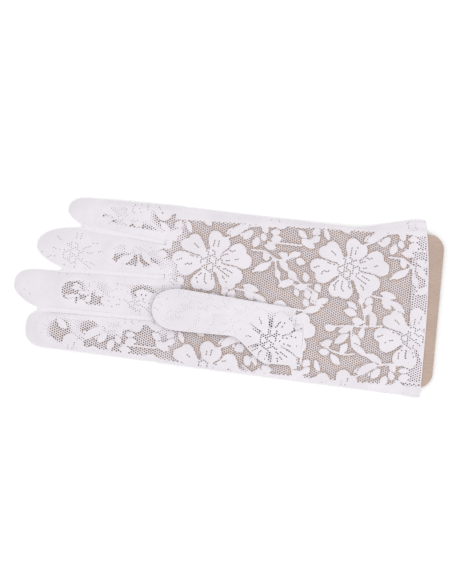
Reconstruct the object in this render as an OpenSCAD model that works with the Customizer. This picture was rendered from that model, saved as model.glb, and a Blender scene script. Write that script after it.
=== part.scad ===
// Left-hand lace glove, wrist length, lying palm up on a flat surface.
// It is held flat by a hand-shaped card that slides out through the cuff.
// X runs from the fingertips (-X) to the cuff (+X), Y to the little finger, Z up.
// The origin is at the middle of the whole object's underside. Millimetres.

/* [Glove] */
// Length from the middle fingertip to the cuff edge
glove_len = 235; // [225:1:250]
// Half of the cuff's width
cuff_half = 50.4; // [47:0.2:54]
// How far the glove widens on the little-finger side just before the cuff
cuff_flare = 7.2; // [2:0.2:9]
// How far the cuff edge steps back at its little-finger corner
cuff_set_back = 6; // [0:0.5:8]
// Width of the folded hem at the cuff
hem_w = 9; // [6:0.5:12]

/* [Fingers] */
// Distance from the middle fingertip's line to the index fingertip
index_tip_x = 8.6; // [4:0.2:16]
// Distance from the middle fingertip's line to the ring fingertip
ring_tip_x = 10.7; // [6:0.2:18]
// Distance from the middle fingertip's line to the little fingertip
little_tip_x = 26.7; // [22:0.2:34]
// Distance from the middle fingertip to the bottom of the slot between two fingers
crotch_x = 82; // [76:0.5:86]
// Width of the slot between two fingers
slot_w = 0.8; // [0.6:0.1:1.2]

/* [Lace] */
// Thickness of one layer of lace
lace_t = 0.45; // [0.35:0.05:0.5]
// Width of the sewn seam around the edge
seam_w = 1; // [0.8:0.1:1.2]
// Free space between the card and each hem
card_clear = 0.3; // [0.3:0.05:0.5]

/* [Thumb] */
// Length of the thumb from its hinge line to its tip
thumb_len = 87; // [80:1:90]
// Flat width of the thumb near its tip
thumb_w = 24.6; // [22:0.2:26]
// Flat width of the thumb at its base
thumb_base_w = 33; // [30:0.5:34]
// Height of the thumb over the palm
thumb_clear = 0.3; // [0.3:0.05:0.6]

/* [Card] */
// How far the card stands out of the cuff
card_out = 6.4; // [2:0.2:12]
// Thickness of the card
card_t = 0.6; // [0.4:0.05:0.8]
// Radius of the card's two corners outside the cuff
card_corner_r = 8.5; // [4:0.5:12]

/* [Hidden] */

$fn = 48;
lace_white = [0.93, 0.91, 0.94];
seam_white = [0.97, 0.96, 0.98];
card_beige = [0.76, 0.69, 0.62];

// Whole object
total_len = glove_len + card_out;
far = 20;

// Heights, from the surface up: back lace, its folded hem, card, palm hem, palm lace
stitch_t = 0.2;
hem_t = 2 * lace_t;
card_z = hem_t + stitch_t + card_clear;
palm_hem_z = card_z + card_t + card_clear;
palm_top = palm_hem_z + hem_t;
palm_z = palm_top - lace_t;

// Sides of the palm: half-widths at the finger slots, and where the cuff's flare starts
index_root_y = -44.4;
little_root_y = 45.9;
little_wrist_y = cuff_half - cuff_flare;
flare_start_x = 187;
flare_end_x = glove_len - 8;
edge_steps = 14;

// The four fingers, from index to little. Side lines at the slots' bottoms, then the
// low and high side at the station where each tip starts, the tips, and how square
// each tip's low and high halves are: 2 is an ellipse and more is squarer.
root_y = [index_root_y, -19.6, 5, 23.2, little_root_y];
slot_bottom_x = [crotch_x - 1, crotch_x + 2, crotch_x + 1];
station_x = [20.7, 16.7, 34.7, 40.7];
station_y = [[-41.8, -20.4], [-19.4, 2.8], [3.6, 28.2], [28.8, 45.9]];
tip_x = [index_tip_x, 0, ring_tip_x, little_tip_x];
tip_square = [[2.4, 2.9], [1.55, 3.1], [1.75, 2.2], [1.6, 2.6]];
finger_mid_y = [-31.2, -8.6, 14.4, 37.2];
finger_overlap = 12;
tip_steps = 24;

// The card's tongues, one in each finger
tongue_root_y = [[-42.2, -22.6], [-15.8, 0.2], [7.8, 21.3], [29, 42]];
tongue_station_x = [26, 36, 62, 56];
tongue_station_y = [[-38.2, -23.4], [-15.2, -1.2], [9.2, 21.3], [31.4, 42.4]];
tongue_tip_x = [17, 27, 52, 46];
tongue_square = [2.2, 2.2];
card_root_x = slot_bottom_x[1] + seam_w + 1.6;
card_index_y = -44.6;
card_index_side = [[card_root_x, -42.9], [124, -44.5], [150, -45.2], [190, -45.2]];
card_little_y = [38.4, 42.4];

// Thumb, folded over the palm, and the hole that it grows from
hinge_x = 79 + thumb_len;
thumb_tip_x = hinge_x - thumb_len;
thumb_station_x = thumb_tip_x + 16.5;
thumb_high_y = [-0.9, -6.2];
thumb_widen_x = [hinge_x - 41, hinge_x - 19];
thumb_gap = 0.5;
thumb_z = palm_top + thumb_clear;
thumb_t = 2 * lace_t + thumb_gap;
hole_x = hinge_x - 16;
hole_y = -23;
hole_r = [13, 10];
base_seam_y = [-38, -7];
base_seam_w = 3;
base_seam_gap = 0.35;

// Hem stitches
stitch_len = 2.2;
stitch_pitch = 3.4;
stitch_wide = 0.4;
stitch_inset = 1.2;
stitch_margin = 4;

function mix(a, b, t) = a + (b - a) * t;
function part_of(x, from, to) = max(0, min(1, (x - from) / (to - from)));
function smooth(t) = t * t * (3 - 2 * t);

// The palm's two long sides and the cuff's edge
function index_edge(x) =
    mix(index_root_y, -cuff_half, part_of(x, crotch_x + 3, glove_len));
function little_edge(x) =
    mix(little_root_y, little_wrist_y, part_of(x, crotch_x + 3, flare_start_x))
    + cuff_flare * smooth(part_of(x, flare_start_x, flare_end_x));
function cuff_edge(y) =
    glove_len - cuff_set_back * pow(part_of(y, -cuff_half, cuff_half), 4);

// Half of an ellipse-like tip that points to -X, from its low side to its high side
function power(v, n) = sign(v) * pow(abs(v), n);
function tip_points(x, low, high, reach, square) = [
    for (i = [0 : tip_steps])
        let (a = 180 * i / tip_steps, n = 2 / square[a < 90 ? 0 : 1])
        [
            x - reach * power(sin(a), n),
            (low + high) / 2 - (high - low) / 2 * power(cos(a), n)
        ]
];

// A finger drawn from its two root corners to its tip, made smaller all round by inset
module finger_shape(root, root_end_x, start_x, station, end_x, square, inset) {
    tip = tip_points(
        start_x, station[0] + inset, station[1] - inset, start_x - end_x - inset, square
    );
    polygon(concat([[root_end_x, root[0] + inset]], tip, [[root_end_x, root[1] - inset]]));
}

module glove_finger(i, inset) {
    outer_low = (i == 0) ? 0 : slot_w / 2;
    outer_high = (i == 3) ? 0 : slot_w / 2;
    finger_shape(
        [root_y[i] + outer_low, root_y[i + 1] - outer_high],
        crotch_x + finger_overlap, station_x[i], station_y[i], tip_x[i], tip_square[i], inset
    );
}

// Palm from the slots' bottoms to beyond the cuff
module palm_shape(inset) {
    start_x = crotch_x + 3;
    end_x = glove_len + far;
    low_side = [
        for (i = [0 : edge_steps])
            let (x = mix(start_x, end_x, i / edge_steps)) [x, index_edge(x) + inset]
    ];
    high_side = [
        for (i = [0 : 2 * edge_steps])
            let (x = mix(end_x, start_x, i / (2 * edge_steps))) [x, little_edge(x) - inset]
    ];
    slots = [
        for (i = [2 : -1 : 0])
            [slot_bottom_x[i] + inset, root_y[i + 1]]
    ];
    polygon(concat(low_side, high_side, slots));
}

// The flat glove as a plate from z up, open past its cuff
module open_plate(inset, z, t) {
    translate([0, 0, z]) {
        linear_extrude(t) palm_shape(inset);
        for (i = [0 : 3]) {
            linear_extrude(t) glove_finger(i, inset);
        }
    }
}

// Everything on the finger side of a line that follows the cuff's edge
module before_cuff(shift) {
    steps = 16;
    edge = [
        for (i = [0 : steps])
            let (y = mix(-cuff_half - far, cuff_half + far, i / steps)) [cuff_edge(y) + shift, y]
    ];
    polygon(concat([[-far, -cuff_half - far]], edge, [[-far, cuff_half + far]]));
}

// Everything is drawn from the middle fingertip and then moved to the origin
module placed(z, colour) {
    color(colour) translate([-total_len / 2, 0, z]) children();
}

// One layer of lace inside the seam, up to the hem
module panel_plate(z) {
    intersection() {
        open_plate(seam_w, z, lace_t);
        translate([0, 0, z - 1]) linear_extrude(lace_t + 2) before_cuff(-hem_w);
    }
}

// The folded band of lace between the panel and the cuff's edge
module hem_plate(z) {
    intersection() {
        translate([0, 0, z]) linear_extrude(hem_t) palm_shape(seam_w);
        translate([0, 0, z - 1]) linear_extrude(hem_t + 2) difference() {
            before_cuff(0);
            before_cuff(-hem_w);
        }
    }
}

// The seam between the low and high lines, which run down the middle of two fingers
module edge_seam(low, high) {
    placed(0, seam_white) intersection() {
        difference() {
            open_plate(0, 0, palm_top);
            open_plate(seam_w, -1, palm_top + 2);
        }
        translate([0, 0, -1]) linear_extrude(palm_top + 2) intersection() {
            before_cuff(0);
            translate([-far, low]) square([glove_len + 2 * far, high - low]);
        }
    }
}

module ellipse(r, grow) {
    polygon([
        for (i = [0 : $fn - 1])
            let (a = 360 * i / $fn) [(r[0] + grow) * cos(a), (r[1] + grow) * sin(a)]
    ]);
}

module back_panel() {
    placed(0, lace_white) panel_plate(0);
}

module palm_panel() {
    placed(0, lace_white) difference() {
        panel_plate(palm_z);
        translate([hole_x, hole_y, palm_z - 1]) linear_extrude(lace_t + 2)
            ellipse(hole_r, seam_w);
    }
}

module index_side_seam() {
    edge_seam(-cuff_half - far, finger_mid_y[0]);
}

module index_middle_seam() {
    edge_seam(finger_mid_y[0], finger_mid_y[1]);
}

module middle_ring_seam() {
    edge_seam(finger_mid_y[1], finger_mid_y[2]);
}

module ring_little_seam() {
    edge_seam(finger_mid_y[2], finger_mid_y[3]);
}

module little_side_seam() {
    edge_seam(finger_mid_y[3], cuff_half + far);
}

module cuff_hem_back() {
    placed(0, lace_white) hem_plate(0);
}

module cuff_hem_palm() {
    placed(0, lace_white) hem_plate(palm_hem_z);
}

// A row of stitches that follows the hem's inner line
module stitch_row() {
    low = index_edge(glove_len - hem_w) + stitch_margin;
    high = little_edge(glove_len - hem_w) - stitch_margin - 1;
    count = floor((high - low) / stitch_pitch);
    for (i = [0 : count]) {
        y = low + i * stitch_pitch;
        x = cuff_edge(y + stitch_len / 2) - hem_w + stitch_inset;
        translate([x, y]) square([stitch_wide, stitch_len]);
    }
}

module hem_stitches_back() {
    placed(hem_t, seam_white) linear_extrude(stitch_t) stitch_row();
}

module hem_stitches_palm() {
    placed(palm_top, seam_white) linear_extrude(stitch_t) stitch_row();
}

// The bound edge of the thumb's hole in the palm
module thumb_hole_seam() {
    ring_z = palm_z - lace_t / 2;
    placed(ring_z, seam_white) translate([hole_x, hole_y]) linear_extrude(palm_top - ring_z)
        difference() {
            ellipse(hole_r, seam_w);
            ellipse(hole_r, 0);
        }
}

// The ridge where the thumb is sewn down, just behind its hinge line
module thumb_base_seam() {
    ridge_h = thumb_clear + thumb_t / 2;
    placed(palm_top, seam_white)
        translate([hinge_x + thumb_t / 2 + base_seam_gap, base_seam_y[0], 0])
        cube([base_seam_w, base_seam_y[1] - base_seam_y[0], ridge_h]);
}

// The thumb's flat outline from its hinge line to its tip
module thumb_shape(inset) {
    narrow_low = thumb_high_y[0] - thumb_w;
    wide_low = thumb_high_y[1] - thumb_base_w;
    steps = 12;
    low_side = [
        for (i = [0 : steps])
            let (
                x = mix(thumb_widen_x[1], thumb_widen_x[0], i / steps),
                t = smooth(part_of(x, thumb_widen_x[0], thumb_widen_x[1]))
            )
            [x, mix(narrow_low, wide_low, t) + inset]
    ];
    tip = tip_points(
        thumb_station_x, narrow_low + inset, thumb_high_y[0] - inset,
        thumb_station_x - thumb_tip_x - inset, [2.3, 2.3]
    );
    polygon(concat(
        [[hinge_x, wide_low + inset]], low_side, tip, [[hinge_x, thumb_high_y[1] - inset]]
    ));
}

module thumb_back_panel() {
    placed(thumb_z, lace_white) linear_extrude(lace_t) thumb_shape(seam_w);
}

module thumb_palm_panel() {
    placed(thumb_z + lace_t + thumb_gap, lace_white) linear_extrude(lace_t)
        thumb_shape(seam_w);
}

module thumb_seam() {
    placed(thumb_z, seam_white) linear_extrude(thumb_t) difference() {
        thumb_shape(0);
        thumb_shape(seam_w);
    }
}

// The card under the palm and cuff, with two round corners outside the cuff
module card_shape() {
    r = card_corner_r;
    low_corner = [total_len - r, card_index_y + r];
    high_corner = [total_len - r, card_little_y[1] - r];
    polygon(concat(
        card_index_side,
        [for (a = [-90 : 10 : 0]) low_corner + r * [cos(a), sin(a)]],
        [for (a = [0 : 10 : 90]) high_corner + r * [cos(a), sin(a)]],
        [[card_root_x, card_little_y[0]]]
    ));
}

// A hand shape with a tongue in each finger
module display_card() {
    placed(card_z, card_beige) {
        linear_extrude(card_t) card_shape();
        for (i = [0 : 3]) {
            linear_extrude(card_t) finger_shape(
                tongue_root_y[i], card_root_x + 2, tongue_station_x[i], tongue_station_y[i],
                tongue_tip_x[i], tongue_square, 0
            );
        }
    }
}

back_panel();
palm_panel();
index_side_seam();
index_middle_seam();
middle_ring_seam();
ring_little_seam();
little_side_seam();
cuff_hem_back();
cuff_hem_palm();
hem_stitches_back();
hem_stitches_palm();
thumb_hole_seam();
thumb_base_seam();
thumb_back_panel();
thumb_palm_panel();
thumb_seam();
display_card();
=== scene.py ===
"""A lace glove, palm up, on its beige display card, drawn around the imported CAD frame.

Blender works in metres in the CAD frame. The drawing functions below work in millimetres in the same
axes (+X from the fingertips to the cuff, +Y from the index finger to the little finger, +Z up) and
put() turns their result into metres. Every outline comes from the CAD nodes, so it is not repeated here.
"""

import math

import bpy
import numpy as np
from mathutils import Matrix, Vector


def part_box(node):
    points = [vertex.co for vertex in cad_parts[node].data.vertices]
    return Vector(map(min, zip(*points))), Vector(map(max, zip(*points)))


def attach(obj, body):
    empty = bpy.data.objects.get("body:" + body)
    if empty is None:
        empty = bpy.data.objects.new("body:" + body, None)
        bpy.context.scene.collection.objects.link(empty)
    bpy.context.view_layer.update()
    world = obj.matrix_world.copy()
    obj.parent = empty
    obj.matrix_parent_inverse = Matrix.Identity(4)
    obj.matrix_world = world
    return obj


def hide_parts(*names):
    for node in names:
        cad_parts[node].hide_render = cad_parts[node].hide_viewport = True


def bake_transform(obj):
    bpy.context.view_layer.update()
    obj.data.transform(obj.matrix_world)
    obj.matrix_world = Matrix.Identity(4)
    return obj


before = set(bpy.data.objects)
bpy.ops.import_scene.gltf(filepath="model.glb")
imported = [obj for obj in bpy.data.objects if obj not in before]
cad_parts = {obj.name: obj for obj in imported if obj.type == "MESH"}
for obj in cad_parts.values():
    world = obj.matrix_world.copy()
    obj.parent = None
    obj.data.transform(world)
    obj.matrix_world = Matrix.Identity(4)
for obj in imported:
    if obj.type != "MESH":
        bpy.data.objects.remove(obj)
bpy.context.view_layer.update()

MM = 0.001
CAMERA_HEIGHT = 1.6  # metres above the floor, looking straight down
CAMERA_LENS = 173.6  # millimetres on a 36 mm sensor: the view is about 332 mm tall
CAMERA_TURN = 5.3  # degrees: the glove lies slightly turned in the view

NET_PITCH = 1.4  # distance between the net's holes
NET_TURN = 27.0  # degrees: the rows of holes run slantwise
OPEN_HOLE = 0.72  # hole size as a share of its cell where the lace is stretched over the hand
TIGHT_HOLE = 0.10  # the same where the net is slack and closes up
PIN_HOLE = 0.78  # the dotted vein holes inside a motif
EDGE_HOLE = 1.22  # the first holes beside a motif are this much larger
CLOSED = 0.13  # slack net whose holes would be smaller than this has none

CARD_TOP = 2.0
LACE_LIFT = 0.24  # middle of the palm lace above the card
SEAM_HALF = 0.6  # half of a seam's width
CARD_CLEAR = 0.25  # a seam gives way to the card where less than this is left between them
FINGERS_END = -45.0  # the finger lace parts from the hand lace here, just past the slots

FINGERS = ("little", "ring", "middle", "index")


# ---------------------------------------------------------------- outlines taken from the CAD nodes


def open_sides(rings):
    """The sides that only one of the given faces has, each in that face's direction."""
    sides = set()
    for ring in rings:
        for pair in zip(ring, ring[1:] + ring[:1]):
            if pair[::-1] in sides:
                sides.remove(pair[::-1])
            else:
                sides.add(pair)
    return sorted(sides)


def top_loops(node):
    """Closed outlines of the flat top of a CAD node, in mm: anticlockwise outside, clockwise holes."""
    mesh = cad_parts[node].data
    points = np.array([v.co for v in mesh.vertices]) / MM
    top = points[:, 2].max()
    faces = []
    for polygon in mesh.polygons:
        corners = list(polygon.vertices)
        if polygon.normal.z < 0.5 or min(points[i][2] for i in corners) < top - 0.02:
            continue
        faces.append([(round(points[i][0] * 1000), round(points[i][1] * 1000)) for i in corners])
    following = dict(open_sides(faces))
    loops = []
    while following:
        start = min(following)
        point = following.pop(start)
        loop = [start]
        while point != start:
            loop.append(point)
            point = following.pop(point)
        loops.append(np.array(loop) / 1000.0)
    loops.sort(key=lambda loop: -np.ptp(loop, axis=0).sum())
    return loops


def segments(loops, closed=True):
    """Start and end points of every side of the given outlines."""
    if closed:
        starts = np.concatenate(loops)
        ends = np.concatenate([np.roll(loop, -1, axis=0) for loop in loops])
    else:
        starts = np.concatenate([line[:-1] for line in loops])
        ends = np.concatenate([line[1:] for line in loops])
    return starts, ends


def outline_query(points, loops, closed=True):
    """Signed distance (negative inside) and nearest outline point, for each point."""
    starts, ends = segments(loops, closed)
    sides = ends - starts
    lengths = (sides**2).sum(1)
    lengths[lengths == 0] = 1e-9
    distances, nearest = [], []
    for part in np.array_split(points, max(1, len(points) // 3000)):
        p = part[:, None, :]
        t = np.clip(((p - starts) * sides).sum(2) / lengths, 0, 1)
        near = starts + t[..., None] * sides
        gap = np.sqrt(((p - near) ** 2).sum(2))
        best = gap.argmin(1)
        rows = np.arange(len(part))
        distance = gap[rows, best]
        if closed:
            crosses = (starts[:, 1] > p[..., 1]) != (ends[:, 1] > p[..., 1])
            rise = np.where(sides[:, 1] == 0, 1e-9, sides[:, 1])
            at_x = starts[:, 0] + (p[..., 1] - starts[:, 1]) * sides[:, 0] / rise
            inside = (crosses & (p[..., 0] < at_x)).sum(1) % 2 == 1
            distance = np.where(inside, -distance, distance)
        distances.append(distance)
        nearest.append(near[rows, best])
    return np.concatenate(distances), np.concatenate(nearest)


def resample(line, spacing, closed=False):
    """Points at an even spacing along a line."""
    if closed:
        line = np.vstack([line, line[:1]])
    steps = np.sqrt((np.diff(line, axis=0) ** 2).sum(1))
    along = np.concatenate([[0], np.cumsum(steps)])
    count = max(3, int(round(along[-1] / spacing)) + 1)
    wanted = np.linspace(0, along[-1], count)
    result = np.stack([np.interp(wanted, along, line[:, k]) for k in range(line.shape[1])], axis=1)
    return result[:-1] if closed else result


def smooth_line(line, rounds=4):
    """The same line with its small corners eased; its ends stay."""
    line = line.copy()
    for _ in range(rounds):
        line[1:-1] = (line[:-2] + 2 * line[1:-1] + line[2:]) / 4
    return line


def band_middle(node):
    """The line along the middle of a CAD seam, which is a band 1 mm wide with two square ends."""
    loop = top_loops(node)[0]
    sides = np.roll(loop, -1, axis=0) - loop
    length = np.hypot(sides[:, 0], sides[:, 1])
    turn = turns(loop)
    ends = [
        i
        for i in range(len(loop))
        if 0.8 < length[i] < 1.2 and turn[i] > 50 and turn[(i + 1) % len(loop)] > 50
    ]
    first, second = ends[0], ends[-1]
    one = loop[first + 1 : second + 1]
    other = np.vstack([loop[second + 1 :], loop[: first + 1]])[::-1]
    one = resample(one, 0.5)
    near = outline_query(one, [other], closed=False)[1]
    return smooth_line(resample((one + near) / 2, 0.4))


def turns(loop):
    """How many degrees the outline turns at each of its points."""
    sides = np.roll(loop, -1, axis=0) - loop
    heading = np.degrees(np.arctan2(sides[:, 1], sides[:, 0]))
    return (heading - np.roll(heading, 1) + 180) % 360 - 180


class Field:
    """A quantity on a square grid over the glove, read back by linear interpolation."""

    def __init__(self, function, low, high, step):
        self.low, self.step = np.array(low, float), step
        self.shape = tuple(int(math.ceil((high[k] - low[k]) / step)) + 2 for k in (0, 1))
        xs = low[0] + step * np.arange(self.shape[0])
        ys = low[1] + step * np.arange(self.shape[1])
        grid = np.stack(np.meshgrid(xs, ys, indexing="ij"), axis=-1).reshape(-1, 2)
        self.values = function(grid).reshape(self.shape)

    def __call__(self, points):
        at = (np.asarray(points)[:, :2] - self.low) / self.step
        at = np.clip(at, 0, np.array(self.shape) - 1.001)
        cell = at.astype(int)
        u, v = (at - cell).T
        i, j = cell.T
        return between(self.values, i, j, i + 1, j + 1, u, v)


def between(grid, i, j, i1, j1, u, v):
    """Linear interpolation between four neighbours on a grid."""
    near = grid[i, j] * (1 - u) * (1 - v) + grid[i1, j] * u * (1 - v)
    return near + grid[i, j1] * (1 - u) * v + grid[i1, j1] * u * v


def unit(vectors):
    """The same directions at length 1."""
    return vectors / np.maximum(np.hypot(vectors[:, 0], vectors[:, 1]), 1e-6)[:, None]


def uphill(field, points, step):
    """The direction in which a field grows fastest."""
    east, north = np.array([step, 0.0]), np.array([0.0, step])
    slope = [field(points + way) - field(points - way) for way in (east, north)]
    return unit(np.stack(slope, axis=1))


def headings(line, closed):
    """The direction in which a line runs at each of its points."""
    ahead = np.roll(line, -1, axis=0) - np.roll(line, 1, axis=0)
    if not closed:
        ahead[0], ahead[-1] = line[1] - line[0], line[-1] - line[-2]
    return unit(ahead)


def sideways(directions):
    """The same directions, turned a quarter to the left."""
    return np.stack([-directions[:, 1], directions[:, 0]], axis=1)


def ease(t):
    """0 below 0, 1 above 1, smooth between."""
    t = np.clip(t, 0, 1)
    return t * t * (3 - 2 * t)


def ripples(points, wavelength, seed, stretch=(1.0, 1.0), count=7):
    """Soft repeatable unevenness, about -1 to 1."""
    draw = np.random.default_rng(seed)
    total = np.zeros(len(points))
    for _ in range(count):
        angle = draw.uniform(0, math.pi)
        scale = wavelength * draw.uniform(0.7, 1.6)
        phase = draw.uniform(0, 2 * math.pi)
        along = points[:, 0] * math.cos(angle) / stretch[0] + points[:, 1] * math.sin(angle) / stretch[1]
        total += np.sin(2 * math.pi * along / scale + phase)
    return total / math.sqrt(count) / 1.4


# ---------------------------------------------------------------- the lace's repeating pattern

# Two rows of big flowers, half a repeat apart, with sprays of leaves between them.
FLOWER_AT = np.array([67.7, 19.1])
REPEAT_A = np.array([78.1, 2.9])
REPEAT_B = np.array([1.1, -74.7])
FLOWERS = ((0.0, 0.0), (39.6, -35.9))

# Petals, each of two lobes: direction in degrees, reach of the tip, radius of the round end.
PETALS = (
    ((5, 23.2, 4.4), (25, 21.0, 4.3)),
    ((60, 16.0, 3.7), (84, 17.4, 4.0)),
    ((133, 18.6, 3.6), (150, 20.0, 3.5)),
    ((180, 22.0, 4.1), (201, 19.6, 4.1)),
    ((244, 18.2, 4.3), (267, 17.4, 4.1)),
    ((313, 20.0, 4.3), (333, 20.4, 4.4)),
)
PETAL_ROOT = 6.2
ROOT_HALF = 2.0  # half the width of a petal at its root
PETAL_GAP = 0.85  # the net that shows round each petal where it meets another
LEAF_GAP = 0.55
FLOWER_EYE = 6.6
# The knots in the middle of a flower: place and radius.
EYE_KNOTS = (
    (-4.2, 3.3, 1.2), (-0.2, 4.6, 1.1), (3.8, 3.2, 1.2), (0.9, 0.9, 1.3), (4.7, -0.9, 1.3),
    (-0.4, -3.4, 1.2), (-4.0, -0.9, 1.1), (3.0, -4.6, 1.2),
)
# Dotted lines on the flower: the veins of each petal.
VEINS = (
    ((1.2, 12.0), (0.5, 8.0)), ((10.3, 6.6), (13.2, 6.9)), ((6.5, 4.0), (9.0, 4.7)),
    ((14.0, 2.3), (16.0, 2.6)), ((5.7, -5.0), (10.3, -7.7)), ((7.6, -8.4), (9.8, -11.4)),
    ((-5.0, -7.0), (-7.4, -10.0), (-6.7, -13.0)), ((-2.8, -7.5), (-3.2, -11.0), (-2.0, -13.0)),
    ((-19.3, -1.0), (-17.0, -0.3)), ((-15.3, -4.2), (-14.0, -2.9), (-11.0, -2.4)),
    ((-10.5, 9.6), (-8.0, 7.0)), ((4.0, 12.2), (3.2, 8.6)), ((7.4, 0.8), (11.5, 1.4)),
    ((1.0, -7.6), (1.4, -11.0)), ((-7.6, 1.4), (-11.8, 2.2)), ((7.4, -3.6), (12.5, -5.4)),
)

# Leaves and buds: middle relative to the first flower, length, width, direction in degrees.
LEAVES = (
    (11.0, 18.2, 8.5, 3.6, 30), (17.4, 18.2, 7.0, 4.0, 60), (24.5, 13.0, 6.5, 3.6, 70),
    (28.5, 16.2, 5.0, 3.2, -70), (28.9, 20.9, 5.5, 3.2, -60), (35.1, 19.6, 5.5, 3.0, 5),
    (35.8, 15.9, 6.4, 3.4, 10), (32.8, 11.1, 6.8, 3.4, -5), (30.8, 5.7, 5.8, 3.4, -75),
    (41.2, 6.8, 6.8, 3.2, -20), (47.1, 8.0, 7.2, 3.0, 15), (50.5, 4.3, 5.6, 3.6, -20),
    (41.4, 1.4, 7.8, 3.4, -52), (38.3, -3.8, 5.8, 3.0, -70), (29.4, -0.7, 10.5, 3.8, 28),
    (46.7, -4.1, 7.2, 4.0, -50), (54.4, -4.3, 5.5, 3.4, -80), (43.5, -8.8, 9.0, 3.8, 25),
    (51.7, -10.4, 7.5, 3.2, 8), (49.9, -13.4, 4.6, 2.8, -60), (56.2, -13.8, 5.2, 3.6, -75),
    (55.8, -18.8, 5.2, 3.4, -60), (61.7, -9.7, 5.0, 3.6, -60), (60.8, -14.7, 5.5, 2.6, 80),
    (64.9, -16.8, 7.2, 3.2, 15), (59.4, -22.2, 9.5, 3.6, 15), (50.5, 19.6, 7.5, 3.0, -42),
    (53.9, 14.8, 9.0, 3.8, -28), (58.0, 21.6, 5.2, 3.8, 60), (58.3, 17.6, 5.6, 3.4, 40),
    (64.1, 20.9, 7.2, 2.6, -65), (23.8, -13.1, 9.5, 3.4, -14), (29.5, -19.0, 9.5, 3.4, -33),
    (23.3, -18.5, 6.8, 3.6, -42), (9.3, -17.0, 5.6, 3.0, 50), (13.2, -17.9, 5.6, 3.8, 60),
    (3.9, -20.7, 6.6, 3.0, -35), (3.4, -24.7, 7.6, 3.8, -15), (13.2, -22.5, 7.2, 3.4, 65),
    (16.7, -27.2, 7.6, 3.4, -75), (7.8, -29.3, 6.6, 3.8, -10), (0.9, -35.0, 7.6, 3.0, 20),
    (-7.6, -34.5, 6.2, 3.6, -15), (-0.4, -40.0, 9.5, 3.6, 38), (10.7, -36.2, 6.6, 3.2, 80),
    (8.2, -40.4, 8.0, 3.4, -60), (10.0, -45.4, 11.5, 3.2, -33), (18.9, -49.3, 9.5, 3.6, -22),
    (1.4, -45.4, 6.6, 3.6, 62), (-2.9, -52.2, 7.6, 3.4, -45), (-8.4, -43.2, 6.4, 3.4, 25),
    (-9.5, -48.5, 6.0, 3.4, 0), (15.3, -55.4, 12.0, 3.8, 32), (20.7, -57.9, 7.4, 3.6, 50),
)
# Stems that join the sprays, each a run of points relative to the first flower.
STEMS = (
    ((31.0, 13.6), (40.0, 13.6), (50.0, 13.4), (56.0, 17.5)),
    ((22.0, 8.5), (30.0, 8.3), (36.0, 4.5), (40.0, 3.6), (46.0, 6.4)),
    ((24.0, -4.0), (32.0, 1.5), (36.0, 4.5)),
    ((36.0, 4.5), (37.5, -2.0), (40.0, -8.0), (49.0, -9.4), (58.0, -8.0)),
    ((40.0, 3.6), (45.0, -2.0), (52.0, -8.0), (59.5, -12.0), (58.5, -18.0), (66.0, -20.0)),
    ((8.0, 14.0), (13.0, 16.0), (19.0, 21.0), (27.0, 23.0)),
    ((15.0, -14.4), (22.0, -15.2), (27.0, -17.0), (34.0, -22.5)),
    ((-10.0, -34.2), (2.0, -32.4), (11.0, -32.2), (22.0, -30.8)),
    ((8.0, -15.0), (9.6, -21.0), (11.5, -26.0), (12.0, -32.0)),
    ((14.6, -20.0), (14.8, -26.0), (15.2, -31.5)),
    ((5.0, -33.0), (5.0, -38.0), (6.0, -43.0), (13.0, -48.0), (24.0, -52.6)),
    ((24.0, -52.6), (32.0, -52.0)),
    ((-12.0, -43.5), (-5.0, -47.5), (2.0, -49.0), (8.0, -48.0)),
)
STEM_HALF = 0.5
FAR = 99.0  # a distance longer than any in the pattern


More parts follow.
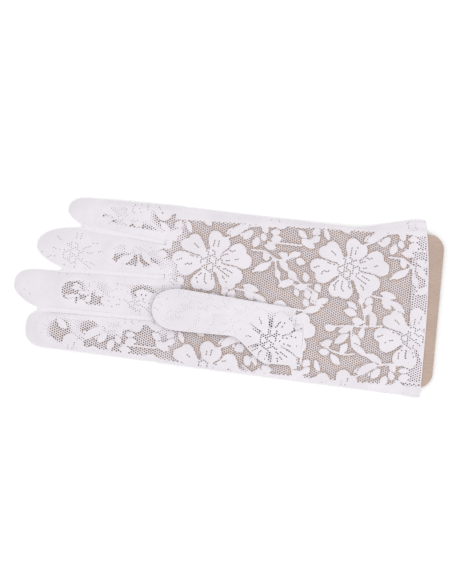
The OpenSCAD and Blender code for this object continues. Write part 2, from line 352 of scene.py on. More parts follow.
class Pattern:
    """The lace pattern as two fields over one repeat: distance to a motif's outline, and to a vein."""

    def __init__(self, steps=(320, 300)):
        basis = np.stack([REPEAT_A, REPEAT_B], axis=1)
        self.inverse = np.linalg.inv(basis)
        self.basis, self.steps = basis, steps
        s, t = np.meshgrid(*(np.arange(n) / n for n in steps), indexing="ij")
        self.points = np.stack([s.ravel(), t.ravel()], axis=1) @ basis.T
        motif = np.full(len(self.points), FAR)
        vein = np.full(len(self.points), FAR)
        for centre in FLOWERS:
            for petal in PETALS:
                shape = np.minimum(*(self.lobe(centre, *lobe) for lobe in petal))
                motif = self.laid_on(motif, shape, PETAL_GAP)
            reach = self.reach(centre)
            motif = np.minimum(motif, reach - FLOWER_EYE)
            for line in VEINS:
                vein = np.minimum(vein, self.run([np.add(centre, point) for point in line]))
            knots = [self.reach(np.add(centre, (x, y))) - size for x, y, size in EYE_KNOTS]
            knot = np.minimum.reduce(knots)
            between_knots = (reach < FLOWER_EYE) & (knot > 0.15)
            vein = np.where(between_knots, np.minimum(vein, 0.05 + 0.05 * knot), vein)
        for x, y, length, width, direction in LEAVES:
            motif = self.laid_on(motif, self.leaf(x, y, length, width, direction), LEAF_GAP)
        for stem in STEMS:
            motif = np.minimum(motif, self.run(stem) - STEM_HALF)
        self.motif, self.vein = motif.reshape(steps), vein.reshape(steps)

    def about(self, centre):
        """The grid's points relative to the repeat of this centre that is nearest."""
        shares = (self.points - np.asarray(centre, float)) @ self.inverse.T
        shares -= np.round(shares)
        return shares @ self.basis.T

    def reach(self, centre):
        return np.sqrt((self.about(centre) ** 2).sum(1))

    def lobe(self, centre, direction, tip, radius):
        """A petal lobe: a narrow root that widens to a round end."""
        angle = math.radians(direction)
        ray = np.array([math.cos(angle), math.sin(angle)])
        away, t = self.stretch(centre + ray * PETAL_ROOT, centre + ray * (tip - radius))
        return away - (ROOT_HALF + (radius - ROOT_HALF) * ease(t * 1.1))

    def stretch(self, start, end):
        """Distance to a straight stretch, and how far along it the nearest point is, 0 to 1."""
        middle = (start + end) / 2
        p = self.about(middle) + middle
        t = np.clip(((p - start) @ (end - start)) / ((end - start) ** 2).sum(), 0, 1)
        return np.sqrt(((p - start - t[:, None] * (end - start)) ** 2).sum(1)), t

    def laid_on(self, motif, shape, gap):
        """The motifs with one more shape on top, and a little net showing round it."""
        return np.minimum(np.maximum(motif, gap - shape), shape)

    def leaf(self, x, y, length, width, direction):
        """A pointed oval."""
        angle = math.radians(direction)
        p = self.about((x, y))
        u = p[:, 0] * math.cos(angle) + p[:, 1] * math.sin(angle)
        v = -p[:, 0] * math.sin(angle) + p[:, 1] * math.cos(angle)
        return np.abs(v) - 0.58 * width * (1 - np.abs(1.82 * u / length) ** 2.1)

    def run(self, line):
        """Distance to a run of straight stretches."""
        line = np.asarray(line, float)
        return np.minimum.reduce([self.stretch(start, end)[0] for start, end in zip(line, line[1:])])

    def read(self, grid, points):
        at = (points @ self.inverse.T) * np.array(self.steps)
        cell = np.floor(at).astype(int)
        u, v = (at - cell).T
        i, j = cell.T % np.array(self.steps)[:, None]
        i1, j1 = (i + 1) % self.steps[0], (j + 1) % self.steps[1]
        return between(grid, i, j, i1, j1, u, v)


def index_side_drift(points):
    """The stretched lace of the index side lies with its pattern this much nearer the other fingers."""
    return 12.0 * ease(-points[:, 1] / 14.0) * ease((30.0 - points[:, 0]) / 26.0)


class Layout:
    """Where the pattern lies on one panel: the place of a flower, a turn, and a drift across the hand."""

    def __init__(self, pattern, flower=FLOWER_AT, turn=0.0, drift=None):
        self.pattern, self.flower, self.drift = pattern, np.asarray(flower, float), drift
        angle = math.radians(turn)
        self.turn = np.array([[math.cos(angle), math.sin(angle)], [-math.sin(angle), math.cos(angle)]])

    def local(self, points):
        points = np.asarray(points, float)[:, :2].copy()
        if self.drift is not None:
            points[:, 1] -= self.drift(points)
        return (points - self.flower) @ self.turn.T

    def motif(self, points):
        return self.pattern.read(self.pattern.motif, self.local(points))

    def vein(self, points):
        return self.pattern.read(self.pattern.vein, self.local(points))


# ---------------------------------------------------------------- heights of the soft layers

GLOVE_LOW, GLOVE_HIGH = (-124.0, -54.0), (124.0, 54.0)
PALM_LOOPS = top_loops("palm_panel")
card_gap = Field(lambda p: outline_query(p, top_loops("display_card"))[0], GLOVE_LOW, GLOVE_HIGH, 0.8)
palm_edge = Field(lambda p: -outline_query(p, PALM_LOOPS[:1])[0], GLOVE_LOW, GLOVE_HIGH, 0.8)
hem_gap = Field(lambda p: outline_query(p, top_loops("cuff_hem_palm"))[0], (90, -54), GLOVE_HIGH, 0.8)
outer_seam_gap = Field(
    lambda p: outline_query(p, [band_middle("index_side_seam"), band_middle("little_side_seam")], False)[0],
    GLOVE_LOW,
    GLOVE_HIGH,
    1.0,
)
thumb_edge = Field(lambda p: -outline_query(p, top_loops("thumb_palm_panel"))[0], (-48, -44), (54, 6), 0.6)

HEM_STEP = 0.28  # the lace rises this much where the hem's plies begin


def crease(points, start, end, width):
    """A soft fold line: 1 along it, fading to 0 at its sides and its ends."""
    start, end = np.array(start, float), np.array(end, float)
    along = end - start
    t = ((points[:, :2] - start) @ along) / (along**2).sum()
    away = np.abs((points[:, 0] - start[0]) * along[1] - (points[:, 1] - start[1]) * along[0])
    away /= np.hypot(*along)
    fade = ease((t + 0.05) / 0.15) * ease((1.05 - t) / 0.15)
    return np.exp(-((away / width) ** 2)) * fade


def palm_height(points):
    """Middle of the palm lace: it lies over the card and falls to the seams past the card's edge."""
    points = np.asarray(points, float)[:, :2]
    gap, inside = card_gap(points), palm_edge(points)
    drop = ease((gap - 0.4) / 4.5)
    height = CARD_TOP + LACE_LIFT - 0.95 * drop
    finger = ease((-32.0 - points[:, 0]) / 14.0)
    crown = 1 - np.exp(-np.clip(inside, 0, None) / 3.0)
    height += finger * crown * (0.35 + 0.25 * drop)
    height += 0.07 * (ripples(points, 26, 3, (2.0, 0.8)) + 1) * (1 - 0.5 * drop)
    height += finger * 0.13 * (ripples(points, 11, 4, (3.0, 0.7)) + 1) * crown
    rim = np.maximum(ease((6.0 - outer_seam_gap(points)) / 2.0), ease((-72.0 - points[:, 0]) / 24.0))
    height -= 0.85 * rim * np.exp(-np.clip(inside, 0, None) / 2.4) * ease((gap - 0.4) / 2.0)
    height += 0.24 * (1 - rim) * finger * np.exp(-np.clip(inside, 0, None) / 1.8)
    height += HEM_STEP * ease((3.0 - hem_gap(points)) / 3.0)
    height += 0.42 * crease(points, (-85.0, -42.5), (-53.0, -23.5), 1.0) * crown
    height += 0.22 * crease(points, (-50.0, -24.0), (-38.0, -14.0), 1.3) * crown
    return height


def back_height(points):
    """Middle of the back lace, which lies on the floor and bulges a little under the card."""
    points = np.asarray(points, float)[:, :2]
    crown = 1 - np.exp(-np.clip(palm_edge(points), 0, None) / 4.0)
    return 0.24 + 0.14 * (ripples(points, 24, 5, (1.6, 0.8)) + 1.2) * crown


THUMB_ROOT, THUMB_TIP = 45.3, -41.7


def thumb_low_height(points):
    """Middle of the thumb's lower layer: on the palm at its base, lifting a little to its tip."""
    points = np.asarray(points, float)[:, :2]
    share = (THUMB_ROOT - points[:, 0]) / (THUMB_ROOT - THUMB_TIP)
    inside = np.clip(thumb_edge(points), 0, None)
    rim = np.exp(-inside / 2.2)
    settle = 1.12 * ease((points[:, 0] - THUMB_ROOT + 14.0) / 12.0)
    return 3.62 - settle + 1.15 * ease(share * 1.2) * (0.6 + 0.4 * rim) + 0.05 * ripples(points, 15, 8)


def thumb_top_height(points):
    """Middle of the thumb's upper layer, softly puffed above the lower one."""
    points = np.asarray(points, float)[:, :2]
    inside = np.clip(thumb_edge(points), 0, None)
    puff = 0.36 + 1.5 * (1 - np.exp(-inside / 4.2))
    root = ease((THUMB_ROOT + 1.0 - points[:, 0]) / 16.0)
    folds = crease(points, (45.0, -14.0), (8.0, -25.0), 2.2)
    folds += crease(points, (44.0, -27.0), (-2.0, -14.0), 2.0)
    folds -= crease(points, (30.0, -9.0), (-22.0, -17.0), 2.4)
    waves = 0.16 * ripples(points, 17, 9, (2.2, 0.8)) + 0.22 * folds
    body = 1 - np.exp(-inside / 2.5)
    return thumb_low_height(points) + puff * (0.16 + 0.84 * root) + waves * body * root


# ---------------------------------------------------------------- the lace mesh


def clip_hole(corners, outside):
    """The part of a hole's outline that lies outside the motif."""
    kept = []
    for k in range(len(corners)):
        a, b = corners[k - 1], corners[k]
        fa, fb = outside[k - 1], outside[k]
        if (fa > 0) != (fb > 0):
            kept.append(a + (b - a) * (fa / (fa - fb)))
        if fb > 0:
            kept.append(b)
    return kept


def area_of(corners):
    x, y = np.array(corners).T
    return 0.5 * abs(np.dot(x, np.roll(y, -1)) - np.dot(y, np.roll(x, -1)))


def fill_ring(outer, inner, where):
    """Triangles between two rounds of vertices, both anticlockwise."""
    cx = sum(where[i][0] for i in inner) / len(inner)
    cy = sum(where[i][1] for i in inner) / len(inner)

    def sorted_round(ids):
        angles = [math.atan2(where[i][1] - cy, where[i][0] - cx) for i in ids]
        first = angles.index(min(angles))
        return ids[first:] + ids[:first], angles[first:] + angles[:first]

    outer, outer_angles = sorted_round(list(outer))
    inner, inner_angles = sorted_round(list(inner))
    outer_angles.append(outer_angles[0] + 2 * math.pi)
    inner_angles.append(inner_angles[0] + 2 * math.pi)
    n, m = len(outer), len(inner)
    i = j = 0
    faces = []
    while i < n or j < m:
        if j == m or (i < n and outer_angles[i + 1] <= inner_angles[j + 1]):
            faces.append((outer[i % n], outer[(i + 1) % n], inner[j % m]))
            i += 1
        else:
            faces.append((outer[i % n], inner[(j + 1) % m], inner[j % m]))
            j += 1
    return faces


class Lace:
    """A panel of net with solid motifs, as hexagonal cells that share their corners.

    Each cell is open net, a motif's solid cloth, a motif with a small vein hole, or net that a
    motif's edge cuts. The panel's rim follows its outline exactly.
    """

    def __init__(self, loops, layout, hole_share, shift=(0.0, 0.0)):
        self.layout, self.hole_share = layout, hole_share
        row = NET_PITCH * math.sqrt(3) / 2
        turn = math.radians(NET_TURN)
        axes = np.array([[math.cos(turn), math.sin(turn)], [-math.sin(turn), math.cos(turn)]])
        turned_loop = loops[0] @ axes.T
        low, high = turned_loop.min(0), turned_loop.max(0)
        js = np.arange(math.floor((low[1] - shift[1]) / row) - 1, math.ceil((high[1] - shift[1]) / row) + 2)
        rows = []
        for j in js:
            start = NET_PITCH * 0.5 * (j % 2) + shift[0]
            first = math.floor((low[0] - start) / NET_PITCH) - 1
            last = math.ceil((high[0] - start) / NET_PITCH) + 1
            xs = start + NET_PITCH * np.arange(first, last + 1)
            rows.append(np.stack([xs, np.full(len(xs), shift[1] + row * j)], axis=1))
        centres = np.concatenate(rows)
        centres = centres[outline_query(centres @ axes, loops)[0] < -0.12 * NET_PITCH]
        self.centres = centres @ axes
        angles = np.radians(30 + 60 * np.arange(6))
        spokes = np.stack([np.cos(angles), np.sin(angles)], axis=1) * NET_PITCH / math.sqrt(3)
        corners = (centres[:, None, :] + spokes[None]).reshape(-1, 2)
        spacing = [NET_PITCH / 2, NET_PITCH / math.sqrt(12)]
        keys = np.round((corners - np.array(shift)) / spacing).astype(int)
        _, first, index, uses = np.unique(
            keys, axis=0, return_index=True, return_inverse=True, return_counts=True
        )
        self.corner_at = corners[first] @ axes
        self.cells = index.reshape(-1, 6)
        rim = uses < 3
        self.corner_at[rim] = outline_query(self.corner_at[rim], loops)[1]

    def build(self, name, height, keep=None, thick=(0.24, 0.36)):
        """The mesh of the cells picked by keep, closed all round, in metres."""
        chosen = np.arange(len(self.cells)) if keep is None else np.nonzero(keep)[0]
        cells = self.cells[chosen]
        corner_at = self.corner_at[cells]
        middles = corner_at.mean(1)
        share = self.hole_share(middles)
        vein = self.layout.vein(middles)
        centre_motif = self.layout.motif(middles)
        pinned = (vein < 0.4 * NET_PITCH) & (centre_motif < -0.2)
        share = np.where((centre_motif > 0) & (centre_motif < 0.75 * NET_PITCH), EDGE_HOLE * share, share)
        holes = middles[:, None, :] + (corner_at - middles[:, None, :]) * share[:, None, None]
        holes[pinned] = self.slits(middles[pinned], corner_at[pinned], share[pinned])
        share = np.where(pinned, 1.0, share)
        outside = self.layout.motif(holes.reshape(-1, 2)).reshape(-1, 6)
        used = np.unique(cells)
        number = {int(c): k for k, c in enumerate(used)}
        where = [tuple(p) for p in self.corner_at[used]]
        on_hole = [False] * len(where)
        faces, walls = [], []
        for k in range(len(cells)):
            outer = [number[int(c)] for c in cells[k]]
            if share[k] < CLOSED:
                hole = []
            elif pinned[k] or outside[k].min() > 0:
                hole = [tuple(p) for p in holes[k]]
            elif outside[k].max() <= 0:
                hole = []
            else:
                hole = [tuple(p) for p in clip_hole(holes[k], outside[k])]
                if len(hole) < 3 or area_of(hole) < 0.03:
                    hole = []
            if not hole:
                faces.append(tuple(outer))
                continue
            inner = list(range(len(where), len(where) + len(hole)))
            where.extend(hole)
            on_hole.extend([True] * len(hole))
            if len(hole) == 6 and (pinned[k] or outside[k].min() > 0):
                for a in range(6):
                    b = (a + 1) % 6
                    faces.append((outer[a], outer[b], inner[b], inner[a]))
            else:
                faces.extend(fill_ring(outer, inner, where))
            walls.extend((inner[a - 1], inner[a]) for a in range(len(inner)))
        sides = open_sides([number[int(c)] for c in face] for face in cells)
        walls.extend((b, a) for a, b in sides)
        piece = self.mesh(name, np.array(where), np.array(on_hole), faces, walls, height, thick)
        edge_of = np.zeros(len(piece.data.loops), int)
        piece.data.loops.foreach_get("edge_index", edge_of)
        sharp = np.zeros(len(piece.data.edges), bool)
        sharp[edge_of[-4 * len(sides) :]] = True
        piece.data.edges.foreach_set("use_edge_sharp", sharp)
        return piece

    def slits(self, middles, corners, share):
        """Vein holes: each is long along its vein and narrow across it, and moves onto its line."""
        vein = self.layout.vein
        across = uphill(vein, middles, 0.25)
        along = sideways(across)
        size = 0.5 + 0.5 * ease((share - TIGHT_HOLE) / (OPEN_HOLE - TIGHT_HOLE))
        spokes = corners - middles[:, None, :]
        far = (spokes * along[:, None, :]).sum(2) * (PIN_HOLE * size)[:, None]
        wide = (spokes * across[:, None, :]).sum(2) * (0.5 * PIN_HOLE * size)[:, None]
        wide -= np.minimum(vein(middles), 0.15 * NET_PITCH)[:, None]
        return middles[:, None, :] + far[..., None] * along[:, None, :] + wide[..., None] * across[:, None, :]

    def mesh(self, name, where, on_hole, faces, walls, height, thick):
        motif = self.layout.motif(where)
        solid = np.maximum(ease((0.25 - motif) / 0.7), ease((0.3 - self.hole_share(where)) / 0.17))
        half = (thick[0] + (thick[1] - thick[0]) * solid) / 2
        half *= np.where(on_hole, 0.62, 1.0)
        half += 0.04 * np.exp(-(((motif + 0.7) / 0.45) ** 2))
        middle = height(where)
        count = len(where)
        top = np.column_stack([where, middle + half])
        bottom = np.column_stack([where, middle - half])
        points = np.concatenate([top, bottom])
        every = list(faces)
        every.extend(tuple(i + count for i in reversed(face)) for face in faces)
        every.extend((a, b, b + count, a + count) for a, b in walls)
        piece = put(name, points, every)
        store = piece.data.attributes.new("motif", "FLOAT", "POINT")
        store.data.foreach_set("value", np.concatenate([solid, solid]).astype(np.float32))
        plan_uv(piece)
        return piece


def linked(name, data):
    """A new object in the scene."""
    piece = bpy.data.objects.new(name, data)
    bpy.context.scene.collection.objects.link(piece)
    return piece


def put(name, points, faces, smooth=True):
    """A new mesh object from points in mm."""
    mesh = bpy.data.meshes.new(name)
    mesh.from_pydata((np.asarray(points) * MM).tolist(), [], faces)
    mesh.validate()
    mesh.polygons.foreach_set("use_smooth", [smooth] * len(mesh.polygons))
    mesh.update()
    return linked(name, mesh)


def plan_uv(piece):
    """A flat UV layout seen from above."""
    mesh = piece.data
    layer = mesh.uv_layers.new(name="OFBake")
    points = np.zeros(len(mesh.vertices) * 3, np.float32)
    mesh.vertices.foreach_get("co", points)
    flat = points.reshape(-1, 3)[:, :2]
    low = flat.min(0)
    size = (flat.max(0) - low).max()
    corner = np.zeros(len(mesh.loops), np.int32)
    mesh.loops.foreach_get("vertex_index", corner)
    uv = 0.01 + 0.98 * (flat[corner] - low) / size
    layer.data.foreach_set("uv", uv.astype(np.float32).ravel())


# ---------------------------------------------------------------- soft rolls: seams, folds and stitches


def tube_sides(rings, sides, start=0, closed=False):
    """The faces between neighbouring rings of points."""
    for k in range(rings if closed else rings - 1):
        a, b = start + k * sides, start + (k + 1) % rings * sides
        for side in range(sides):
            other = (side + 1) % sides
            yield a + side, a + other, b + other, b + side


def roll(name, line, middle_z, half_width, half_height, ridge=0.0, ridge_step=1.5, flat=0.0, closed=False):
    """A soft roll along a line. Sizes are one value or one per point; flat is 0 for round, 1 for boxy."""
    sides = 16
    line = np.asarray(line, float)
    across = sideways(headings(line, closed))
    steps = np.hypot(*np.diff(line, axis=0).T)
    along = np.concatenate([[0], np.cumsum(steps)])
    swell = 1 + ridge * np.sin(2 * math.pi * along / ridge_step)
    middle_z = np.broadcast_to(middle_z, len(line))
    half_height = np.broadcast_to(half_height, len(line))
    half_width = np.broadcast_to(half_width, len(line))
    power = 0.75 - 0.35 * np.broadcast_to(flat, len(line))
    points = []
    for k in range(len(line)):
        for side in range(sides):
            angle = 2 * math.pi * side / sides
            c, s = math.cos(angle), math.sin(angle)
            c = math.copysign(abs(c) ** power[k], c)
            s = math.copysign(abs(s) ** power[k], s)
            x, y = line[k] + across[k] * half_width[k] * swell[k] * c
            points.append((x, y, middle_z[k] + half_height[k] * swell[k] * s))
    rings = len(line)
    faces = list(tube_sides(rings, sides, closed=closed))
    if not closed:
        faces.append(tuple(reversed(range(sides))))
        faces.append(tuple(range((rings - 1) * sides, rings * sides)))
    return put(name, points, faces)


# ---------------------------------------------------------------- materials


class Look:
    """A material and the nodes it is made of."""

    def __init__(self, name):
        self.material = bpy.data.materials.new(name)
        self.material.use_nodes = True
        self.nodes = self.material.node_tree.nodes
        self.links = self.material.node_tree.links
        self.shader = self.nodes["Principled BSDF"]
        self.at = self.nodes.new("ShaderNodeTexCoord").outputs["Object"]

    def add(self, kind, **values):
        node = self.nodes.new(f"ShaderNode{kind}")
        for name, value in values.items():
            node.inputs[name.replace("_", " ")].default_value = value
        return node

    def noise(self, scale, detail=3.0, rough=0.55, at=None):
        node = self.add("TexNoise", Scale=scale, Detail=detail, Roughness=rough)
        self.links.new(at or self.at, node.inputs["Vector"])
        return node.outputs["Fac"]

    def ramp(self, factor, *stops):
        """A colour ramp with (place, colour) stops."""
        node = self.add("ValToRGB")
        for element, (place, colour) in zip(node.color_ramp.elements, stops):
            element.position = place
            element.color = (*colour, 1.0)
        self.links.new(factor, node.inputs["Fac"])
        return node.outputs["Color"]

    def mixed(self, factor, one, other, blend="MIX"):
        node = self.add("Mix")
        node.data_type = "RGBA"
        node.blend_type = blend
        node.inputs["Factor"].default_value = factor
        self.links.new(one, node.inputs["A"])
        self.links.new(other, node.inputs["B"])
        return node.outputs["Result"]

    def ranged(self, value, low, high):
        node = self.add("MapRange", To_Min=low, To_Max=high)
        self.links.new(value, node.inputs["Value"])
        return node.outputs["Result"]

    def bumped(self, height, distance, strength):
        node = self.add("Bump", Distance=distance, Strength=strength)
        self.links.new(height, node.inputs["Height"])
        self.links.new(node.outputs["Normal"], self.shader.inputs["Normal"])

    def turned(self, angle, scale=(1.0, 1.0, 1.0)):
        node = self.add("Mapping", Rotation=(0.0, 0.0, math.radians(angle)), Scale=scale)
        self.links.new(self.at, node.inputs["Vector"])
        return node.outputs["Vector"]

    def wave(self, angle, scale, distortion):
        node = self.add("TexWave", Scale=scale, Distortion=distortion, Detail=2.0, Detail_Scale=2.0)
        self.links.new(self.turned(angle), node.inputs["Vector"])
        return node.outputs["Fac"]

    def give(self, name, value):
        """Sets or links one of the shader's own sockets."""
        socket = self.shader.inputs[name]
        if isinstance(value, float):
            socket.default_value = value
        else:
            self.links.new(value, socket)


def lace_material(name, bright, shade):
    """White nylon and cotton thread: satin-filled motifs and a slightly greyer net."""
    look = Look(name)
    patch = look.noise(55.0, 2.0)
    thread = look.noise(2600.0, 2.0)
    cloth = look.ramp(patch, (0.3, shade), (0.7, bright))
    fine = look.ramp(thread, (0.25, (0.90, 0.89, 0.91)), (0.75, (1.0, 1.0, 1.0)))
    colour = look.mixed(1.0, cloth, fine, "MULTIPLY")
    motif = look.add("Attribute")
    motif.attribute_name = "motif"
    net = look.ramp(motif.outputs["Fac"], (0.0, (0.99, 0.98, 0.985)), (1.0, (1.0, 1.0, 1.0)))
    look.give("Base Color", look.mixed(1.0, colour, net, "MULTIPLY"))
    look.give("Roughness", look.ranged(thread, 0.62, 0.86))
    look.give("Sheen Weight", 0.18)
    look.give("Sheen Roughness", 0.45)
    look.give("Specular IOR Level", 0.3)
    look.bumped(look.mixed(0.45, look.wave(24.0, 420.0, 3.0), thread), 0.00009, 0.55)
    return look.material


def thread_material(name, bright, shade):
    """Overlocked sewing thread: fine slanting wraps."""
    look = Look(name)
    fuzz = look.noise(1800.0, 3.0)
    look.give("Base Color", look.ramp(fuzz, (0.3, shade), (0.7, bright)))
    look.give("Roughness", look.ranged(fuzz, 0.55, 0.8))
    look.give("Sheen Weight", 0.2)
    look.give("Specular IOR Level", 0.35)
    look.bumped(look.mixed(0.4, look.wave(38.0, 520.0, 2.0), fuzz), 0.00012, 0.6)
    return look.material


def card_material():
    """Uncoated beige cardboard with short fibres and faint clouding."""
    look = Look("beige_cardboard")
    cloud = look.noise(38.0, 3.0)
    fibre = look.noise(1.0, 4.0, 0.7, look.turned(8.0, (260.0, 1500.0, 900.0)))
    cross = look.noise(1.0, 4.0, 0.7, look.turned(74.0, (300.0, 1700.0, 900.0)))
    base = look.ramp(cloud, (0.3, (0.485, 0.372, 0.322)), (0.7, (0.545, 0.428, 0.362)))
    light = look.ramp(fibre, (0.35, (0.90, 0.89, 0.88)), (0.7, (1.04, 1.03, 1.02)))
    dark = look.ramp(cross, (0.3, (0.92, 0.91, 0.90)), (0.6, (1.0, 1.0, 1.0)))
    look.give("Base Color", look.mixed(1.0, look.mixed(1.0, base, light, "MULTIPLY"), dark, "MULTIPLY"))
    look.give("Roughness", look.ranged(cross, 0.72, 0.92))
    look.give("Specular IOR Level", 0.25)
    look.bumped(look.mixed(0.5, fibre, cross), 0.00006, 0.5)
    return look.material


def floor_material():
    look = Look("white_sweep")
    look.give("Base Color", look.ramp(look.noise(3.0), (0.3, (0.93, 0.93, 0.93)), (0.7, (0.95, 0.95, 0.95))))
    look.give("Roughness", 0.9)
    look.give("Specular IOR Level", 0.1)
    return look.material


# ---------------------------------------------------------------- scene


def make_camera():
    data = bpy.data.cameras.new("camera")
    data.lens = CAMERA_LENS
    data.sensor_width = 36.0
    camera = linked("camera", data)
    camera.location = (-0.0003, -0.0006, CAMERA_HEIGHT)
    camera.rotation_euler = (0.0, 0.0, math.radians(CAMERA_TURN))
    bpy.context.scene.camera = camera


def make_light(name, place, size, power, colour):
    data = bpy.data.lights.new(name, "AREA")
    data.shape = "DISK"
    data.size = size
    data.energy = power
    data.color = colour
    light = linked(name, data)
    light.location = place
    x, y, z = place
    light.rotation_euler = (math.atan2(math.hypot(x, y), z), 0.0, math.atan2(-y, -x) - math.pi / 2)


def make_studio():
    scene = bpy.context.scene
    scene.view_settings.view_transform = "Standard"
    world = bpy.data.worlds.new("studio")
    world.use_nodes = True
    world.node_tree.nodes["Background"].inputs["Color"].default_value = (1.0, 1.0, 1.0, 1.0)
    world.node_tree.nodes["Background"].inputs["Strength"].default_value = 0.85
    scene.world = world
    make_light("softbox_above", (-0.15, 0.25, 1.5), 1.4, 4.4, (1.0, 1.0, 1.0))
    make_light("key_right", (0.85, -0.75, 0.85), 0.5, 3.4, (1.0, 0.99, 0.98))
    half = 3.0
    corners = [(-half, -half, 0), (half, -half, 0), (half, half, 0), (-half, half, 0)]
    mesh = bpy.data.meshes.new("floor")
    mesh.from_pydata(corners, [], [(0, 1, 2, 3)])
    floor = linked("floor", mesh)
    floor.data.materials.append(floor_material())


# ---------------------------------------------------------------- the glove

# Places on the fingers where the lace is drawn over the card and its net opens: middle, half sizes.
OPEN_PATCHES = (
    (-55.0, 12.6, 15.0, 3.2), (-33.0, 21.0, 8.0, 6.0), (-88.0, -7.0, 7.0, 6.5), (-78.0, -12.0, 9.0, 4.0),
    (-92.0, -31.0, 6.0, 6.5), (-62.0, -37.5, 20.0, 6.5), (-46.0, -31.0, 11.0, 8.0),
    (-30.0, -37.0, 16.0, 9.0), (-76.0, -28.0, 5.0, 4.0), (-72.0, 33.0, 6.0, 3.5), (-52.0, 30.5, 9.0, 3.0),
    (-36.0, 38.0, 9.0, 6.0), (-47.0, -5.0, 7.0, 4.0),
)


def hand_holes(points):
    """Hole size over the hand and fingers: open over the hand, mostly closed up on the fingers."""
    points = points[:, :2]
    inside = np.clip(palm_edge(points), 0, None)
    hand = ease((points[:, 0] + 36.0) / 14.0)
    patch = np.zeros(len(points))
    for x, y, half_x, half_y in OPEN_PATCHES:
        reach = np.hypot((points[:, 0] - x) / half_x, (points[:, 1] - y) / half_y)
        patch = np.maximum(patch, ease((1.35 - reach) / 0.6))
    stretch = np.maximum(hand, 0.85 * patch * ease(inside / 3.0))
    speckle = 0.17 + 0.11 * ripples(points, 9, 12)
    stretch = np.maximum(stretch, speckle * ease((points[:, 0] + 106.0) / 16.0))
    stretch *= ease((-0.15 - card_gap(points)) / 0.9)
    return TIGHT_HOLE + (OPEN_HOLE - TIGHT_HOLE) * np.clip(stretch, 0, 1)


def hem_holes(points):
    return 0.66 * hand_holes(points)


def thumb_holes(points):
    """Hole size on the thumb: closed up along it, more open round the flower at its base."""
    reach = np.hypot((points[:, 0] - 31.0) / 18.0, (points[:, 1] + 25.0) / 14.0)
    share = TIGHT_HOLE + (0.6 - TIGHT_HOLE) * ease((1.25 - reach) / 0.6)
    return share + 0.03 * (ripples(points, 8, 14) + 0.6)


def finger_of(lace):
    """Which part each cell of a hand panel belongs to: -1 the hand, then 0 to 3 as in FINGERS."""
    part = np.full(len(lace.cells), -1)
    fingers = np.nonzero(lace.centres[:, 0] < FINGERS_END + 2.5 * ripples(lace.centres, 12, 31))[0]
    cells = lace.cells[fingers]
    label = np.arange(len(cells))
    while True:
        lowest = np.full(len(lace.corner_at), len(cells))
        np.minimum.at(lowest, cells.ravel(), np.repeat(label, 6))
        spread = lowest[cells].min(1)
        if (spread == label).all():
            break
        label = spread
    groups = sorted(set(label), key=lambda g: -lace.centres[fingers[label == g], 1].mean())
    for number, group in enumerate(groups):
        part[fingers[label == group]] = number
    return part


def dress(piece, body, material, slot, *nodes):
    """Gives a piece its material and its body, and hides the CAD nodes it stands for. The slot is not used.
    """
    piece.data.materials.clear()
    piece.data.materials.append(material)
    if nodes:
        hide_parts(*nodes)
    if body is not None:
        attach(piece, body)
    return piece


def make_hand(lace, side, height, node, material, thick):
    """One hand panel as the hand and its four fingers."""
    part = finger_of(lace)
    for number, finger in enumerate(("hand",) + FINGERS):
        keep = part == number - 1
        piece = lace.build(f"{side}_lace_{finger}", height, keep, thick)
        dress(piece, "glove", material, "lace", node)


def make_hem(side, under, upper, layout, material, thread):
    """The cuff hem: lace folded back on itself, a rolled fold at the edge, and its row of stitches."""
    node, stitch_node = f"cuff_hem_{side}", f"hem_stitches_{side}"
    loops = top_loops(node)
    for name, height in ((f"{side}_hem_lace", upper), (f"{side}_hem_turned_in", under)):
        piece = Lace(loops, layout, hem_holes).build(name, height)
        dress(piece, "glove", material, "lace", node)
    line = smooth_line(resample(cuff_edge(loops[0]), 0.5))
    top, low = upper(line), under(line)
    rounded = roll(f"{side}_hem_fold", line, (top + low) / 2, 0.42, (top - low) / 2 + 0.17, 0.05, 2.6)
    dress(rounded, "glove", material, "lace", node)
    stitches = make_stitches(f"{side}_hem_stitches", stitch_node, lambda p: upper(p) + 0.2)
    dress(stitches, "glove", thread, "sewing_thread", stitch_node)


def cuff_edge(loop):
    """The side of a hem's outline that faces the cuff opening, from end to end."""
    corners = np.nonzero(np.abs(turns(loop)) > 50)[0].tolist()
    best = None
    for a, b in zip(corners, corners[1:] + corners[:1]):
        run = loop[a : b + 1] if b > a else np.vstack([loop[a:], loop[: b + 1]])
        if np.ptp(run[:, 1]) > 40 and (best is None or run[:, 0].mean() > best[:, 0].mean()):
            best = run
    return best


def make_stitches(name, node, height):
    """Short threads, each dipping into the cloth at its ends, where the CAD has its stitches."""
    points, faces = [], []
    sides, rings = 6, 7
    for loop in top_loops(node):
        middle = loop.mean(0)
        longest = max(range(len(loop)), key=lambda i: np.hypot(*(loop[(i + 1) % len(loop)] - loop[i])))
        along = loop[(longest + 1) % len(loop)] - loop[longest]
        length = np.hypot(*along)
        along /= length
        across = np.array([-along[1], along[0]])
        level = float(height(middle[None])[0])
        start = len(points)
        for r in range(rings):
            t = r / (rings - 1) * 2 - 1
            radius = 0.19 * math.sqrt(max(0.05, 1 - abs(t) ** 3))
            lift = -0.16 * abs(t) ** 3
            for s in range(sides):
                angle = 2 * math.pi * s / sides
                xy = middle + along * t * length / 2 + across * radius * math.cos(angle)
                points.append((xy[0], xy[1], level + lift + radius * math.sin(angle)))
        for r in range(rings - 1):
            for s in range(sides):
                a, b = start + r * sides, start + (r + 1) * sides
                o = (s + 1) % sides
                faces.append((a + s, b + s, b + o, a + o))
        faces.append(tuple(start + s for s in range(sides)))
        faces.append(tuple(start + (rings - 1) * sides + s for s in reversed(range(sides))))
    return put(name, points, faces)


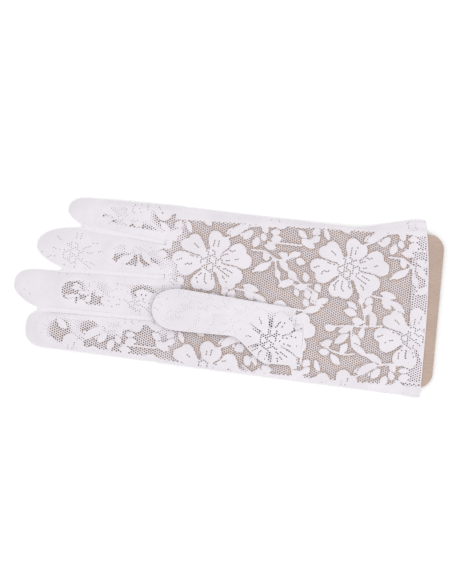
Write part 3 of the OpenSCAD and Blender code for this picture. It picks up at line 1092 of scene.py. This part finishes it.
def make_card(material):
    """The display card with softly pressed edges."""
    loop = resample(top_loops("display_card")[0], 1.2, closed=True)
    count = len(loop)
    inward = sideways(headings(loop, True))
    low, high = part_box("display_card")
    low_z, high_z = low.z / MM, high.z / MM
    press = 0.1
    profile = (
        (0.14, low_z),
        (0.02, low_z + press),
        (0.0, (low_z + high_z) / 2),
        (0.02, high_z - press),
        (0.14, high_z),
    )
    points = []
    for inset, z in profile:
        ring = loop + inward * inset
        points.extend((x, y, z) for x, y in ring)
    faces = list(tube_sides(len(profile), count))
    faces.append(tuple(reversed(range(count))))
    faces.append(tuple((len(profile) - 1) * count + k for k in range(count)))
    piece = put("display_card_cut", points, faces, smooth=False)
    dress(piece, "card", material, "card", "display_card")


def shifted(line, distance, edge=palm_edge):
    """The line moved away from the inside of a panel, by one distance or one for each point."""
    return line - uphill(edge, line, 0.3) * np.broadcast_to(distance, len(line))[:, None]


def slot_reach(line):
    """How far each point of a slot's seam is from the middle of its slot."""
    reaches = np.arange(0.0, 3.0, 0.15)
    outside = np.stack([outline_query(shifted(line, reach), PALM_LOOPS[:1])[0] for reach in reaches])
    return reaches[outside.argmax(0)]


def make_seams(material):
    """The seams between palm and back. Along the slots the two seams press together into one ridge."""
    slots = ("index_middle_seam", "middle_ring_seam", "ring_little_seam")
    for node in ("index_side_seam", *slots, "little_side_seam"):
        line = band_middle(node)
        reach = slot_reach(line)
        apart = np.ones(len(line))
        if node in slots:
            apart = ease((reach - 1.0) / 0.4)
            for _ in range(12):
                apart[1:-1] = (apart[:-2] + apart[1:-1] + apart[2:]) / 3
                reach[1:-1] = (reach[:-2] + reach[1:-1] + reach[2:]) / 3
        line = smooth_line(shifted(line, apart * -0.5 + (1 - apart) * (reach - 0.35)), 8)
        top = palm_height(line) + 0.13 * (1 - apart)
        wide = SEAM_HALF + (1 - apart) * 1.5
        tight = np.clip(SEAM_HALF + CARD_CLEAR - card_gap(line), 0, 0.9)
        line = shifted(line, tight / 2)
        wide -= tight / 2
        piece = roll(f"{node}_roll", line, (top + 0.12) / 2, wide, (top - 0.12) / 2, 0.02, 1.7, 1 - apart)
        dress(piece, "glove", material, "sewing_thread", node)
    outer, inner = top_loops("thumb_hole_seam")[:2]
    outer = resample(outer, 0.6, closed=True)
    line = (outer + outline_query(outer, [inner])[1]) / 2
    piece = roll("thumb_hole_seam_roll", line, palm_height(line) + 0.1, 0.5, 0.26, 0.06, 1.5, closed=True)
    dress(piece, "glove", material, "sewing_thread", "thumb_hole_seam")
    low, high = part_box("thumb_base_seam")
    ys = np.linspace(low.y / MM + 0.3, high.y / MM - 0.3, 70)
    x = (low.x + high.x) / 2 / MM
    line = np.stack([x - 2.2 + 0.25 * np.sin(ys / 5.0), ys], axis=1)
    swell = 0.35 + 0.65 * ease((1 - np.abs(np.linspace(-1, 1, len(ys)))) / 0.12)
    middle = palm_height(line) + 0.2
    piece = roll("thumb_base_seam_roll", line, middle, 0.5 * swell, 0.24 * swell, 0.03, 1.6)
    dress(piece, "glove", material, "sewing_thread", "thumb_base_seam")


def make_thumb(pattern, lace, thread):
    """The thumb: two lace layers and the seam round them. It bends off the palm at its base."""
    layout = Layout(pattern, flower=(27.1, -25.4), turn=-17.0)
    made = []
    for name, node, height in (
        ("thumb_lace_lower", "thumb_back_panel", thumb_low_height),
        ("thumb_lace_upper", "thumb_palm_panel", thumb_top_height),
    ):
        loops = top_loops(node)
        panel = Lace(loops, layout, thumb_holes)
        scallop = THUMB_ROOT - 5.5 + 1.5 * ripples(panel.centres, 9, 21)
        keep = (panel.centres[:, 0] < scallop) | (layout.motif(panel.centres) < 0.5)
        piece = panel.build(name, height, keep, thick=(0.24, 0.34))
        dress(piece, None, lace, "lace", node)
        made.append(piece)
    line = shifted(band_middle("thumb_seam"), -0.45, thumb_edge)
    top, low = thumb_top_height(line), thumb_low_height(line)
    piece = roll("thumb_seam_roll", line, (top + low) / 2, 0.55, (top - low) / 2 + 0.02, 0.02, 1.7)
    dress(piece, None, thread, "sewing_thread", "thumb_seam")
    made.append(piece)
    for piece in made:
        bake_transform(piece)


def main():
    make_camera()
    make_studio()
    lace = lace_material("white_lace", (0.835, 0.8, 0.84), (0.775, 0.74, 0.78))
    thread = thread_material("white_seam_thread", (0.825, 0.795, 0.835), (0.76, 0.73, 0.77))
    card = card_material()
    pattern = Pattern()

    front = Lace(PALM_LOOPS, Layout(pattern, drift=index_side_drift), hand_holes)
    make_hand(front, "palm", palm_height, "palm_panel", lace, (0.24, 0.34))
    back_layout = Layout(pattern, flower=FLOWER_AT + (21.0, 8.0))
    back = Lace(top_loops("back_panel"), back_layout, hand_holes, shift=(0.4, 0.2))
    make_hand(back, "back", back_height, "back_panel", lace, (0.22, 0.30))

    def palm_under(points):
        return palm_height(points) - 0.25

    def palm_upper(points):
        return palm_height(points) + 0.24 * ease(-hem_gap(points) / 4.0)

    def back_under(points):
        return back_height(points) - 0.02

    def back_upper(points):
        return back_height(points) + 0.34

    make_hem("palm", palm_under, palm_upper, Layout(pattern), lace, thread)
    make_hem("back", back_under, back_upper, back_layout, lace, thread)
    make_seams(thread)
    make_thumb(pattern, lace, thread)
    make_card(card)


main()
